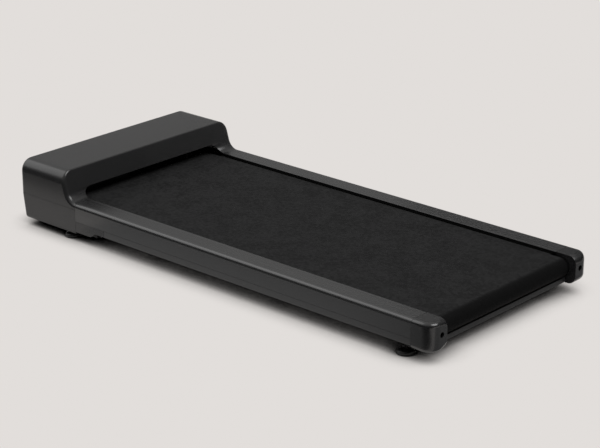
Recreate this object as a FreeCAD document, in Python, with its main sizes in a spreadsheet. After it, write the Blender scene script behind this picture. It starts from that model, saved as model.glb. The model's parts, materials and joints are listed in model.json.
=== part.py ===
import FreeCAD, Part
import math
import os
import re
import Sketcher

os.makedirs("parts", exist_ok=True)
doc = FreeCAD.newDocument("walking_pad")
sheet = doc.addObject("Spreadsheet::Sheet", "sizes")

# Sizes in millimetres. X runs from the hood to the step-on end, Z is up from the floor.
SIZES = {
    "length": 1177,
    "width": 520,
    # Hood cover and the tray below it, x measured from the front
    "hood_top": 152,
    "hood_bottom": 16,
    "split_drop": 13,
    "hood_crease": 139,
    "hood_lean": 19.8,
    "hood_tail": 20.6,
    "hood_side_round": 28,
    "hood_front_round": 9,
    "hood_fillet": 27,
    "crease_edge": 4.5,
    "hood_wall": 3,
    "slot_rise": 19.8,
    "slot_round": 24,
    "slot_reach": 30,
    "tray_lean": 8,
    "tray_rim": 3,
    "tray_round": 7,
    "tray_tail": 56.6,
    "tray_lap": 20,
    "tray_tail_inset": 26,
    "seam_gap": 0.5,
    # Side rails and skirts
    "rail_top": 87.6,
    "rail_bottom": 33,
    "rail_width": 47.3,
    "rail_edge": 9,
    "rail_inner_edge": 1,
    "rail_wall": 3,
    "rail_lip": 6.5,
    "groove_height": 47.4,
    "groove_size": 0.5,
    "skirt_length": 92.1,
    "skirt_bottom": 22.6,
    "skirt_flat": 48,
    "skirt_rise": 15,
    # Rear end caps
    "cap_length": 50,
    "cap_bottom": 26,
    "cap_corner": 26,
    "cap_top_round": 18,
    "cap_low_round": 19,
    "cap_least_round": 1,
    "cap_wall": 3,
    "cap_slot_gap": 1,
    "key_hole_dia": 11.5,
    # Belt, rollers and axles
    "belt_drop": 6.5,
    "belt_thick": 1.8,
    "belt_gap": 0.3,
    "belt_margin": 2,
    "axle_dia": 12,
    "axle_seat": 14.5,
    "roller_dia": 38,
    "roller_wall": 2,
    "roller_end_gap": 4.7,
    "bearing_width": 12,
    "run_gap": 0.05,
    # Deck and its cushions
    "deck_thick": 14,
    "deck_side_gap": 10,
    "deck_front_gap": 15,
    "deck_rear_gap": 9.5,
    "cushion_dia": 22,
    "cushion_thick": 4,
    "deck_screw_dia": 5,
    "deck_screw_head": 10,
    "deck_screw_sink": 3,
    "deck_screw_recess": 0.4,
    "deck_screw_bite": 8,
    "deck_screw_first_x": 240,
    "deck_screw_last_inset": 127,
    "deck_screw_count": 4,
    "fit_gap": 0.3,
    # Steel frame
    "tube_wall": 2,
    "tube_gap": 7,
    "tube_lap": 10.6,
    "bar_width": 30,
    "bar_gap": 2,
    "bar_first_x": 430,
    "bar_last_inset": 387,
    "plate_thick": 3,
    "plate_front_x": 50,
    "plate_inset": 12,
    "ear_thick": 4,
    "ear_gap": 12,
    "ear_length": 36,
    "ear_rise": 13,
    "bracket_length": 34,
    "bracket_width": 24,
    "bracket_rise": 15,
    "bracket_gap": 0.5,
    "tension_travel": 5,
    "slide_gap": 0.5,
    "rear_bar_length": 20,
    "rear_bar_height": 10,
    "rear_bar_gap": 1.9,
    "rear_bar_seat": 8,
    # Tension bolts
    "bolt_dia": 6,
    "bolt_head_dia": 10,
    "bolt_head_high": 6,
    "bolt_key_dia": 5,
    "bolt_tip_gap": 1,
    # Motor and drive
    "motor_dia": 76,
    "motor_gap": 14.9,
    "motor_lift": 6,
    "motor_mid_gap": 25,
    "bell_thick": 9,
    "bell_inset": 3,
    "shaft_dia": 10,
    "flywheel_dia": 58,
    "flywheel_gap": 6,
    "flywheel_thick": 16,
    "flywheel_clear": 12,
    "pulley_width": 18,
    "pulley_lift": 5,
    "pulley_hood_gap": 15.4,
    "motor_pulley_dia": 24,
    "flange_rise": 2,
    "flange_thick": 2.5,
    "drive_belt_thick": 2.5,
    "drive_belt_margin": 1,
    "cradle_length": 56,
    "cradle_inset": 20,
    "cradle_drop": 19,
    # Controller
    "board_length": 42,
    "board_belt_gap": 9.9,
    "board_mid_gap": 20,
    "board_edge": 78,
    "board_thick": 1.6,
    "standoff_high": 6,
    "standoff_dia": 8,
    "sink_high": 34,
    "sink_start": 40,
    "sink_width": 60,
    "sink_inset": 6,
    "sink_base": 4,
    "fin_thick": 2,
    "fin_count": 8,
    # Inlet and switch on the front wall
    "inlet_inset": 110,
    "inlet_z": 48,
    "inlet_proud": 1.5,
    "inlet_wide": 28,
    "inlet_high": 20,
    "inlet_deep": 26,
    "inlet_wall": 2,
    "inlet_mouth": 16,
    "pin_wide": 4,
    "pin_thick": 2,
    "pin_pitch": 7,
    "pin_rise": 2,
    "pin_long": 10,
    "switch_offset": 55,
    "switch_wide": 15,
    "switch_high": 21,
    "switch_deep": 20,
    "switch_rim": 2,
    "rocker_pin_dia": 3,
    "rocker_pin_deep": 7,
    "rocker_proud": 1,
    "rocker_dip": 0.6,
    "rocker_sunk": 1.4,
    "rocker_waist": 6,
    "rocker_taper": 0.8,
    "rocker_back": 10,
    "rocker_back_half": 3,
    "rocker_end_gap": 1.5,
    # Transport wheels
    "wheel_x": 32,
    "wheel_z": 22,
    "wheel_inset": 55,
    "wheel_dia": 30,
    "wheel_width": 16,
    "wheel_pin_dia": 8,
    "wheel_rib": 4,
    "wheel_side_gap": 1,
    "wheel_well_gap": 2,
    "wheel_bevel": 2,
    "rib_rise": 13,
    # Levelling feet
    "foot_dia": 38,
    "foot_thick": 8,
    "foot_bevel": 3,
    "foot_neck_dia": 14,
    "foot_neck_high": 2,
    "stud_dia": 8,
    "foot_front_x": 147,
    "foot_front_inset": 22,
    "foot_rear_back": 83,
    "foot_rear_inset": 27,
    "boss_dia": 16,
    "boss_high": 14,
    "stud_reach": 10,
    # End cap screws
    "cap_screw_dia": 4,
    "cap_screw_head": 8,
    "cap_screw_head_high": 2.5,
    "cap_screw_bite": 8,
    "cap_screw_x": 8,
    "cap_screw_edge": 6,
    # How far a cut runs past the face that it opens
    "cut_past": 1,
}

# Places worked out from the sizes above
TERMS = {
    "front": "(-length / 2)",
    "rear": "(length / 2)",
    "side": "(width / 2)",
    "hood_split": "(rail_top - split_drop)",
    "hood_seam": "(hood_crease + hood_lean + hood_tail)",
    "hood_back": "(front + hood_seam - seam_gap)",
    "lean_slope": "(hood_lean / (hood_top - rail_top))",
    "slot_top": "(rail_top + slot_rise)",
    "tray_back": "(front + hood_seam + tray_tail)",
    "rail_front": "(front + hood_seam)",
    "rail_inner": "(side - rail_width)",
    "rail_back": "(rear - cap_length)",
    "skirt_back": "(rail_front + skirt_length)",
    "belt_inner": "(roller_dia / 2 + belt_gap)",
    "belt_outer": "(belt_inner + belt_thick)",
    "axle_height": "(rail_top - belt_drop - belt_outer)",
    "roller_half": "(rail_inner - roller_end_gap)",
    "belt_half": "(roller_half - belt_margin)",
    "plate_low": "(hood_bottom + hood_wall)",
    "plate_top": "(plate_low + plate_thick)",
    "drive_pulley_dia": "(2 * (axle_height - plate_top - pulley_lift - flange_rise))",
    "drive_axle_x": "(rail_front - pulley_hood_gap - flange_rise - drive_pulley_dia / 2)",
    "rear_axle_x": "(rail_back + axle_seat)",
    "deck_top": "(axle_height + roller_dia / 2)",
    "deck_low": "(deck_top - deck_thick)",
    "deck_half": "(side - deck_side_gap)",
    "deck_front": "(drive_axle_x + roller_dia / 2 + deck_front_gap)",
    "deck_back": "(rear_axle_x - roller_dia / 2 - deck_rear_gap)",
    "deck_screw_pitch": "((length - deck_screw_first_x - deck_screw_last_inset) / (deck_screw_count - 1))",
    "tube_front": "(rail_front + tube_lap)",
    "tube_top": "(deck_low - cushion_thick)",
    "tube_inner": "(roller_half + tube_gap)",
    "tube_outer": "(side - rail_wall)",
    "tube_mid": "((tube_inner + tube_outer) / 2)",
    "ear_far": "(roller_half + pulley_width + ear_gap + ear_thick)",
    "bracket_back": "(rail_back + bracket_length)",
    "bracket_low": "(axle_height - belt_outer - rear_bar_gap)",
    "bracket_near": "(rail_inner + cap_wall + bracket_gap)",
    "bracket_far": "(bracket_near + bracket_width)",
    "bolt_y": "(bracket_near + bracket_width / 2)",
    "rear_bar_half": "(bracket_near + rear_bar_seat)",
    "cap_screw_y": "(bracket_far - cap_screw_edge)",
    "pulley_y": "(-roller_half - pulley_width)",
    "flywheel_y": "(flywheel_gap - roller_half)",
    "motor_near": "(flywheel_y + flywheel_thick + flywheel_clear + bell_thick)",
    "motor_far": "(-motor_mid_gap)",
    "motor_ax": "(drive_axle_x - belt_outer - motor_gap - motor_dia / 2)",
    "motor_z": "(plate_top + motor_lift + motor_dia / 2)",
    "board_back": "(drive_axle_x - belt_outer - board_belt_gap)",
    "board_front": "(board_back - board_length)",
    "board_far": "(side - plate_inset - board_edge)",
    "board_low": "(plate_top + standoff_high)",
    "inlet_y": "(side - inlet_inset)",
    "switch_y": "(inlet_y - switch_offset)",
    "panel_x": "(front + tray_lean / 2 - inlet_proud)",
    "wheel_y": "(side - wheel_inset)",
}

# Smallest length that counts as a real edge, and how closely an edge must lie to a place
REAL_EDGE = 1
TOUCH = 0.01

for row, (alias, size) in enumerate(SIZES.items(), start=1):
    sheet.set(f"A{row}", alias.replace("_", " "))
    sheet.set(f"B{row}", str(size))
    sheet.setAlias(f"B{row}", alias)
doc.recompute()


def formula(text):
    """The expression for a line of arithmetic written with the names above."""
    def full(match):
        word = match.group(0)
        if word in TERMS:
            return formula(TERMS[word])
        return "sizes." + word if word in SIZES else word
    return re.sub(r"[a-z_]+", full, str(text))


def number(text):
    """The value in millimetres of a line of arithmetic."""
    return float(sheet.evalExpression(formula(text)))


def bind(thing, rules):
    for name, text in rules.items():
        thing.setExpression(name, formula(text))


def place(thing, x=None, y=None, z=None):
    for axis, text in (("x", x), ("y", y), ("z", z)):
        if text is not None:
            thing.setExpression(f"Placement.Base.{axis}", formula(text))


def block(name, x, y, z):
    """A box between two ends on each axis."""
    box = doc.addObject("Part::Box", name)
    spans = {"Length": x, "Width": y, "Height": z}
    bind(box, {key: f"({high}) - ({low})" for key, (low, high) in spans.items()})
    place(box, x[0], y[0], z[0])
    return box


TURNS = {
    "X": FreeCAD.Rotation(FreeCAD.Vector(0, 1, 0), 90),
    "Y": FreeCAD.Rotation(FreeCAD.Vector(1, 0, 0), -90),
    "Z": FreeCAD.Rotation(),
}


def rod(name, axis, dia, ends, centre):
    """A cylinder along an axis, from one end to the other, about a centre on the other two axes."""
    cylinder = doc.addObject("Part::Cylinder", name)
    cylinder.Placement = FreeCAD.Placement(FreeCAD.Vector(), TURNS[axis])
    bind(cylinder, {"Radius": f"({dia}) / 2", "Height": f"({ends[1]}) - ({ends[0]})"})
    others = [letter for letter in "xyz" if letter != axis.lower()]
    place(cylinder, **{axis.lower(): ends[0], others[0]: centre[0], others[1]: centre[1]})
    return cylinder


def join(name, pieces):
    fused = doc.addObject("Part::MultiFuse", name)
    fused.Shapes = pieces
    fused.Refine = True
    return fused


def cut(name, base, tools):
    tool = tools[0]
    if len(tools) > 1:
        tool = doc.addObject("Part::MultiFuse", name + "_tools")
        tool.Shapes = tools
    result = doc.addObject("Part::Cut", name)
    result.Base = base
    result.Tool = tool
    return result


def group(name, pieces):
    """Separate solids of one kind kept together as one node."""
    bunch = doc.addObject("Part::Compound", name)
    bunch.Links = pieces
    return bunch


def outline(body, plane, points):
    """A sketch of straight lines whose corners are driven by expressions."""
    sketch = body.newObject("Sketcher::SketchObject", body.Name + "_sketch")
    origin = [item for item in body.Origin.OriginFeatures if item.Role == plane + "_Plane"]
    sketch.AttachmentSupport = [(origin[0], "")]
    sketch.MapMode = "FlatFace"
    corners = [FreeCAD.Vector(number(a), number(b), 0) for a, b in points]
    count = len(corners)
    for index in range(count):
        line = Part.LineSegment(corners[index], corners[(index + 1) % count])
        sketch.addGeometry(line, False)
    for index in range(count):
        sketch.addConstraint(Sketcher.Constraint("Coincident", index, 2, (index + 1) % count, 1))
    for index, texts in enumerate(points):
        values = (corners[index].x, corners[index].y)
        for letter, text, value in zip("XY", texts, values):
            rule = Sketcher.Constraint("Distance" + letter, -1, 1, index, 1, value)
            spot = sketch.addConstraint(rule)
            sketch.setExpression(f"Constraints[{spot}]", formula(text))
    return sketch


def profile(name, plane, points, low, high):
    """A straight-sided outline on a plane, padded from low to high along the third axis."""
    body = doc.addObject("PartDesign::Body", name)
    sketch = outline(body, plane, points)
    start = f"-({high})" if plane == "XZ" else low
    sketch.setExpression("AttachmentOffset.Base.z", formula(start))
    pad = body.newObject("PartDesign::Pad", name + "_pad")
    pad.Profile = sketch
    bind(pad, {"Length": f"({high}) - ({low})"})
    body.Tip = pad
    return body


def turned(name, axis, points, centre):
    """A shape turned about its own axis from an outline of radius and height, set at a centre."""
    body = doc.addObject("PartDesign::Body", name)
    sketch = outline(body, "XZ", points)
    turn = body.newObject("PartDesign::Revolution", name + "_turn")
    turn.Profile = sketch
    turn.ReferenceAxis = (sketch, ["V_Axis"])
    turn.Angle = 360
    body.Tip = turn
    body.Placement = FreeCAD.Placement(FreeCAD.Vector(), TURNS[axis])
    place(body, *centre)
    return body


def rounded(name, base, choose):
    """A copy of base with some edges rounded; choose gives the start and end radius of an edge."""
    doc.recompute()
    fillet = doc.addObject("Part::Fillet", name)
    fillet.Base = base
    picks = []
    for index, edge in enumerate(base.Shape.Edges, start=1):
        radii = choose(edge)
        if radii:
            first, last = (number(text) for text in radii)
            picks.append((index, first, last))
    fillet.Edges = picks
    doc.recompute()
    return fillet


def lies(edge, x=None, y=None, z=None):
    """True when the whole edge lies at the given places."""
    box = edge.BoundBox
    spans = {"x": (box.XMin, box.XMax), "y": (box.YMin, box.YMax), "z": (box.ZMin, box.ZMax)}
    for letter, text in (("x", x), ("y", y), ("z", z)):
        if text is None:
            continue
        spot = number(text)
        if max(abs(spans[letter][0] - spot), abs(spans[letter][1] - spot)) > TOUCH:
            return False
    return True


def past(ends):
    """The same ends moved a little outwards, for a cut that goes right through."""
    return (f"{ends[0]} - cut_past", f"{ends[1]} + cut_past")


def about(middle, size):
    """Ends half a size either side of a middle."""
    return (f"{middle} - ({size}) / 2", f"{middle} + ({size}) / 2")


def both(sign, near, far):
    """Ends in Y of something that reaches from near to far on one side."""
    if sign > 0:
        return (near, far)
    return (f"-({far})", f"-({near})")


def loop(name, first, second, thick, ends):
    """A flat belt round two circles given as x, z and radius, closed all the way."""
    gap = math.hypot(second[0] - first[0], second[1] - first[1])
    tilt = math.atan2(second[1] - first[1], second[0] - first[0])
    swing = math.acos((first[2] - second[2]) / gap)

    def spot(circle, grow, angle):
        reach = circle[2] + grow
        return FreeCAD.Vector(circle[0] + reach * math.cos(angle), ends[0],
                              circle[1] + reach * math.sin(angle))

    def face(grow):
        up, down = tilt + swing, tilt - swing
        top = Part.LineSegment(spot(first, grow, up), spot(second, grow, up))
        back = Part.Arc(spot(second, grow, up), spot(second, grow, tilt), spot(second, grow, down))
        low = Part.LineSegment(spot(second, grow, down), spot(first, grow, down))
        nose = Part.Arc(spot(first, grow, down), spot(first, grow, tilt + math.pi), spot(first, grow, up))
        return Part.Face(Part.Wire([curve.toShape() for curve in (top, back, low, nose)]))

    ring = face(thick).cut(face(0))
    belt = doc.addObject("Part::Feature", name)
    belt.Shape = ring.extrude(FreeCAD.Vector(0, ends[1] - ends[0], 0))
    return belt


SIDES = (("left", -1), ("right", 1))
nodes = []


def node(thing, name):
    thing.Label = name
    nodes.append(thing)
    return thing


# Hood cover: a rounded shell, cut away behind the crease, with a slot for the belt

def hood_solid(name, inset, tail):
    """The hood's outside, or its hollow when inset is the wall."""
    half = f"side - ({inset})"
    top = f"hood_top - ({inset})"
    start = f"front + ({inset})"
    base = block(name + "_block", (start, f"hood_back + ({tail})"),
                 (f"-({half})", half), (f"hood_split - ({tail})", top))
    sides = rounded(name + "_sides", base, lambda edge: (
        (f"hood_side_round - ({inset})",) * 2
        if lies(edge, z=top) and edge.BoundBox.XLength > REAL_EDGE else None))
    nose = rounded(name + "_nose", sides, lambda edge: (
        (f"hood_front_round - ({inset})",) * 2
        if lies(edge, x=start) and edge.BoundBox.ZMax > number("hood_split") + REAL_EDGE else None))
    step = f"({inset}) * sqrt(1 + lean_slope ^ 2)"
    low = f"rail_top - ({inset})"
    foot = f"front + hood_crease + (hood_top - ({low})) * lean_slope - {step}"
    wedge = profile(name + "_wedge", "XZ", [
        (f"front + hood_crease - cut_past * lean_slope - {step}", "hood_top + cut_past"),
        (foot, low), ("rail_front + cut_past", low), ("rail_front + cut_past", "hood_top + cut_past")],
        *past(("-side", "side")))
    sloped = cut(name + "_sloped", nose, [wedge])
    return rounded(name + "_foot", sloped, lambda edge: (
        (f"hood_fillet + ({inset})",) * 2
        if lies(edge, x=foot, z=low) else None))


def hood_rimmed(name, inset, tail):
    """The hood with the edges between its sloped back and its skin rounded."""
    base = hood_solid(name, inset, tail)
    doc.recompute()
    lean_start = number(f"front + hood_crease - 2 * ({inset})") - REAL_EDGE
    low = number(f"rail_top - ({inset})") - TOUCH
    crease = f"crease_edge - ({inset})"
    flank = f"rail_edge - ({inset})"

    def on_rim(edge):
        box = edge.BoundBox
        if box.XMin < lean_start or box.ZMin < low or lies(edge, x=f"hood_back + ({tail})"):
            return None
        if box.YLength > number("2 * rail_inner"):
            return (crease, crease) if lies(edge, z=f"hood_top - ({inset})") else None
        if min(box.YLength, box.ZLength) > REAL_EDGE:
            first = edge.valueAt(edge.FirstParameter).z
            last = edge.valueAt(edge.LastParameter).z
            return (crease, flank) if first > last else (flank, crease)
        return (flank, flank)

    return rounded(name + "_rim", base, on_rim)


hood_rim = hood_rimmed("hood_outer", "0", "0")
hood_hollow = hood_rimmed("hood_hollow", "hood_wall", "cut_past")
slot_block = block("slot_block", ("front + hood_crease - slot_reach", "rail_front + cut_past"),
                   ("-rail_inner", "rail_inner"), ("hood_split - cut_past", "slot_top"))
slot = rounded("slot", slot_block, lambda edge: (
    ("slot_round", "slot_round")
    if lies(edge, z="slot_top") and edge.BoundBox.XLength > REAL_EDGE else None))
node(cut("hood_cover", hood_rim, [hood_hollow, slot]), "hood_cover")

# Base tray: leaning front wall, floor that reaches back under the frame, ribs for the wheels

def tray_solid(name, inset, lift):
    half = f"side - ({inset})"
    start = f"front + ({inset})"
    floor = f"hood_bottom + ({inset})"
    top = f"hood_split - seam_gap + ({lift})"
    back = f"hood_back + ({lift})"
    toe = f"{start} + tray_lean"
    body = profile(name + "_body", "XZ", [
        (start, top), (start, f"{top} - tray_rim"), (toe, floor), (back, floor), (back, top)],
        f"-({half})", half)
    corner = rounded(name + "_corner", body, lambda edge: (
        (f"hood_front_round - ({inset})",) * 2
        if edge.BoundBox.YLength < TOUCH and edge.BoundBox.XMax < number(toe) + TOUCH
        and edge.BoundBox.ZLength > REAL_EDGE else None))
    return rounded(name + "_low", corner, lambda edge: (
        (f"tray_round - ({inset})",) * 2
        if lies(edge, z=floor) and not lies(edge, x=back) else None))


tray_outer = tray_solid("tray_outer", "0", "0")
tray_hollow = tray_solid("tray_hollow", "hood_wall", "cut_past")
tray_floor = block("tray_floor", ("rail_front - tray_lap", "tray_back"),
                   ("-(side - tray_tail_inset)", "side - tray_tail_inset"),
                   ("hood_bottom", "hood_bottom + hood_wall"))
tray_shell = cut("tray_shell", tray_outer, [tray_hollow])
tray_parts = [tray_shell, tray_floor]
tray_cuts = []
rib_top = "wheel_z + rib_rise"
for word, sign in SIDES:
    inner = "wheel_y - wheel_width / 2 - wheel_side_gap"
    outer = "wheel_y + wheel_width / 2 + wheel_side_gap"
    walls = (("inner", f"{inner} - wheel_rib", inner), ("outer", outer, f"{outer} + wheel_rib"))
    for tag, near, far in walls:
        tray_parts.append(block(f"rib_{tag}_{word}",
                                about("front + wheel_x", "wheel_dia"),
                                both(sign, near, far), ("hood_bottom", rib_top)))
    tray_cuts.append(block(f"wheel_well_{word}",
                           about("front + wheel_x", "wheel_dia + 2 * wheel_well_gap"),
                           both(sign, inner, outer), ("hood_bottom - cut_past", rib_top)))
    tray_cuts.append(rod(f"wheel_pin_hole_{word}", "Y", "wheel_pin_dia",
                         both(sign, *past((f"{inner} - wheel_rib", f"{outer} + wheel_rib"))),
                         ("front + wheel_x", "wheel_z")))
    tray_cuts.append(rod(f"tray_stud_hole_{word}", "Z", "stud_dia + 2 * fit_gap",
                         past(("hood_bottom", "plate_low")),
                         ("front + foot_front_x", f"{sign} * (side - foot_front_inset)")))
tray_cuts.append(block("inlet_window", past(("front", "front + inlet_deep")),
                       about("inlet_y", "inlet_wide"), about("inlet_z", "inlet_high")))
tray_cuts.append(block("switch_window", past(("front", "front + switch_deep")),
                       about("switch_y", "switch_wide"), about("inlet_z", "switch_high")))
node(cut("base_tray", join("tray_joined", tray_parts), tray_cuts), "base_tray")

# Front frame: a plate on the tray floor with ears for the axle, shoes for the tubes and foot bosses

plate_parts = [block("plate", ("front + plate_front_x", "tray_back"),
                     ("-(side - plate_inset)", "side - plate_inset"), ("plate_low", "plate_top"))]
plate_cuts = []
for word, sign in SIDES:
    plate_parts.append(block(f"ear_{word}", about("drive_axle_x", "ear_length"),
                             both(sign, "ear_far - ear_thick", "ear_far"),
                             ("plate_low", "axle_height + ear_rise")))
    plate_parts.append(block(f"shoe_{word}", ("tube_front", "tray_back"),
                             both(sign, "tube_inner + tube_wall", "side - plate_inset"),
                             ("plate_low", "rail_bottom")))
    spot = ("front + foot_front_x", f"{sign} * (side - foot_front_inset)")
    plate_parts.append(rod(f"boss_{word}", "Z", "boss_dia", ("plate_low", "plate_top + boss_high"), spot))
    plate_cuts.append(rod(f"boss_hole_{word}", "Z", "stud_dia + 2 * fit_gap",
                          past(("plate_low", "axle_height + ear_rise")), spot))
plate_cuts.append(rod("front_axle_hole", "Y", "axle_dia", past(("-ear_far", "ear_far")),
                      ("drive_axle_x", "axle_height")))
node(cut("front_frame", join("plate_joined", plate_parts), plate_cuts), "front_frame")

# Frame tubes with foot inserts, and the bars between them

screw_spots = [f"front + deck_screw_first_x + {index} * deck_screw_pitch"
               for index in range(SIZES["deck_screw_count"])]
for word, sign in SIDES:
    span = ("tube_front", "rail_back")
    skin = block(f"tube_skin_{word}", span, both(sign, "tube_inner", "tube_outer"),
                 ("rail_bottom", "tube_top"))
    hollow = block(f"tube_hollow_{word}", past(span),
                   both(sign, "tube_inner + tube_wall", "tube_outer - tube_wall"),
                   ("rail_bottom + tube_wall", "tube_top - tube_wall"))
    shell = cut(f"tube_shell_{word}", skin, [hollow])
    spot = ("rear - foot_rear_back", f"{sign} * (side - foot_rear_inset)")
    boss_ends = ("rail_bottom", "rail_bottom + tube_wall + boss_high")
    boss = rod(f"tube_boss_{word}", "Z", "boss_dia", boss_ends, spot)
    holes = [rod(f"tube_stud_hole_{word}", "Z", "stud_dia + 2 * fit_gap", past(boss_ends), spot)]
    for index, place_x in enumerate(screw_spots):
        holes.append(rod(f"tube_screw_hole_{word}_{index}", "Z", "deck_screw_dia + 2 * fit_gap",
                         past(("tube_top - tube_wall", "tube_top")), (place_x, f"{sign} * tube_mid")))
    node(cut(f"frame_tube_{word}", join(f"tube_joined_{word}", [shell, boss]), holes), f"frame_tube_{word}")

for word, start in (("front", "front + bar_first_x"), ("rear", "rear - bar_last_inset")):
    low = "axle_height - belt_inner + bar_gap"
    skin = block(f"bar_skin_{word}", (start, f"{start} + bar_width"),
                 ("-tube_inner", "tube_inner"), (low, "tube_top - bar_gap"))
    hollow = block(f"bar_hollow_{word}", (f"{start} + tube_wall", f"{start} + bar_width - tube_wall"),
                   past(("-tube_inner", "tube_inner")),
                   (f"{low} + tube_wall", "tube_top - bar_gap - tube_wall"))
    node(cut(f"middle_crossbar_{word}", skin, [hollow]), f"middle_crossbar_{word}")

# Deck board on rubber cushions, held by screws under the side rails

deck_holes = []
cushions = []
screws = []
for word, sign in SIDES:
    for index, place_x in enumerate(screw_spots):
        spot = (place_x, f"{sign} * tube_mid")
        tag = f"{word}_{index}"
        deck_holes.append(rod(f"deck_hole_{tag}", "Z", "deck_screw_dia + 2 * fit_gap",
                              past(("deck_low", "deck_top")), spot))
        deck_holes.append(rod(f"deck_sink_{tag}", "Z", "deck_screw_head + 2 * fit_gap",
                              ("deck_top - deck_screw_sink", "deck_top + cut_past"), spot))
        pad = rod(f"cushion_pad_{tag}", "Z", "cushion_dia", ("tube_top", "deck_low"), spot)
        bore = rod(f"cushion_bore_{tag}", "Z", "deck_screw_dia + 2 * fit_gap",
                   past(("tube_top", "deck_low")), spot)
        cushions.append(cut(f"cushion_{tag}", pad, [bore]))
        screws.append(turned(f"deck_screw_{tag}", "Z", [
            ("0", "tube_top - deck_screw_bite"), ("deck_screw_dia / 2", "tube_top - deck_screw_bite"),
            ("deck_screw_dia / 2", "deck_top - deck_screw_sink"),
            ("deck_screw_head / 2", "deck_top - deck_screw_sink"),
            ("deck_screw_head / 2", "deck_top - deck_screw_recess"),
            ("0", "deck_top - deck_screw_recess")], (spot[0], spot[1], "0")))
deck_blank = block("deck_blank", ("deck_front", "deck_back"), ("-deck_half", "deck_half"),
                   ("deck_low", "deck_top"))
node(cut("deck_board", deck_blank, deck_holes), "deck_board")
node(group("deck_cushions", cushions), "deck_cushions")
node(group("deck_screws", screws), "deck_screws")

# Walking belt round both rollers

roller_reach = number("belt_inner")
node(loop("walking_belt", (number("drive_axle_x"), number("axle_height"), roller_reach),
          (number("rear_axle_x"), number("axle_height"), roller_reach), number("belt_thick"),
          (number("-belt_half"), number("belt_half"))), "walking_belt")

# Rollers on bearings round fixed axles

def roller(word, centre_x):
    spot = (centre_x, "axle_height")
    ends = ("-roller_half", "roller_half")
    skin = rod(f"{word}_roller_skin", "Y", "roller_dia", ends, spot)
    hollow = rod(f"{word}_roller_hollow", "Y", "roller_dia - 2 * roller_wall", past(ends), spot)
    node(cut(f"{word}_roller", skin, [hollow]), f"{word}_roller")
    rings = []
    for side_word, sign in SIDES:
        seat = both(sign, "roller_half - bearing_width", "roller_half")
        ring = rod(f"{word}_ring_{side_word}", "Y", "roller_dia - 2 * roller_wall", seat, spot)
        bore = rod(f"{word}_bore_{side_word}", "Y", "axle_dia + 2 * run_gap", past(seat), spot)
        rings.append(cut(f"{word}_bearing_{side_word}", ring, [bore]))
    node(group(f"{word}_roller_bearings", rings), f"{word}_roller_bearings")


roller("front", "drive_axle_x")
roller("rear", "rear_axle_x")
front_rod = rod("front_axle", "Y", "axle_dia", ("-ear_far", "ear_far"), ("drive_axle_x", "axle_height"))
node(front_rod, "front_axle")
rear_rod = rod("rear_rod", "Y", "axle_dia", ("-bracket_far", "bracket_far"), ("rear_axle_x", "axle_height"))
cross_holes = [rod(f"cross_hole_{word}", "X", "bolt_dia + 2 * fit_gap", about("rear_axle_x", "2 * axle_dia"),
                   (f"{sign} * bolt_y", "axle_height")) for word, sign in SIDES]
node(cut("rear_axle", rear_rod, cross_holes), "rear_axle")

# Rear brackets with a slot for the axle, the tension bolts and the crossbar below

for word, sign in SIDES:
    body = block(f"bracket_body_{word}", ("rail_back", "bracket_back"),
                 both(sign, "bracket_near", "bracket_far"), ("bracket_low", "axle_height + bracket_rise"))
    slide = block(f"bracket_slot_{word}",
                  ("rear_axle_x - axle_dia / 2 - tension_travel - slide_gap",
                   "rear_axle_x + axle_dia / 2 + slide_gap"),
                  both(sign, *past(("bracket_near", "bracket_far"))),
                  ("axle_height - axle_dia / 2 - fit_gap", "axle_height + axle_dia / 2 + fit_gap"))
    hole = rod(f"bracket_hole_{word}", "X", "bolt_dia + 2 * fit_gap", past(("rail_back", "bracket_back")),
               (f"{sign} * bolt_y", "axle_height"))
    screw_hole = rod(f"bracket_screw_hole_{word}", "Z", "cap_screw_dia",
                     ("bracket_low - cut_past", "bracket_low + cap_screw_bite"),
                     ("rail_back + cap_screw_x", f"{sign} * cap_screw_y"))
    node(cut(f"axle_bracket_{word}", body, [slide, hole, screw_hole]), f"axle_bracket_{word}")
    tip = "bracket_length - bolt_tip_gap"
    shank = turned(f"bolt_shank_{word}", "X", [
        ("0", f"-({tip})"), ("bolt_dia / 2", f"-({tip})"), ("bolt_dia / 2", "fit_gap"),
        ("bolt_head_dia / 2", "fit_gap"), ("bolt_head_dia / 2", "bolt_head_high"), ("0", "bolt_head_high")],
        ("bracket_back", f"{sign} * bolt_y", "axle_height"))
    socket = doc.addObject("Part::Prism", f"bolt_socket_{word}")
    socket.Polygon = 6
    socket.Placement = FreeCAD.Placement(FreeCAD.Vector(), TURNS["X"])
    bind(socket, {"Circumradius": "bolt_key_dia / 2 / cos(30)", "Height": "bolt_head_high"})
    place(socket, "bracket_back + bolt_head_high / 2", f"{sign} * bolt_y", "axle_height")
    node(cut(f"tension_bolt_{word}", shank, [socket]), f"tension_bolt_{word}")
bar_ends = ("-rear_bar_half", "rear_bar_half")
bar_skin = block("rear_bar_skin", about("rear_axle_x", "rear_bar_length"), bar_ends,
                 ("bracket_low - rear_bar_height", "bracket_low"))
bar_hollow = block("rear_bar_hollow", about("rear_axle_x", "rear_bar_length - 2 * tube_wall"), past(bar_ends),
                   ("bracket_low - rear_bar_height + tube_wall", "bracket_low - tube_wall"))
node(cut("rear_crossbar", bar_skin, [bar_hollow]), "rear_crossbar")

# Side rails: outer wall, top flange and a short lip beside the belt

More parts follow.
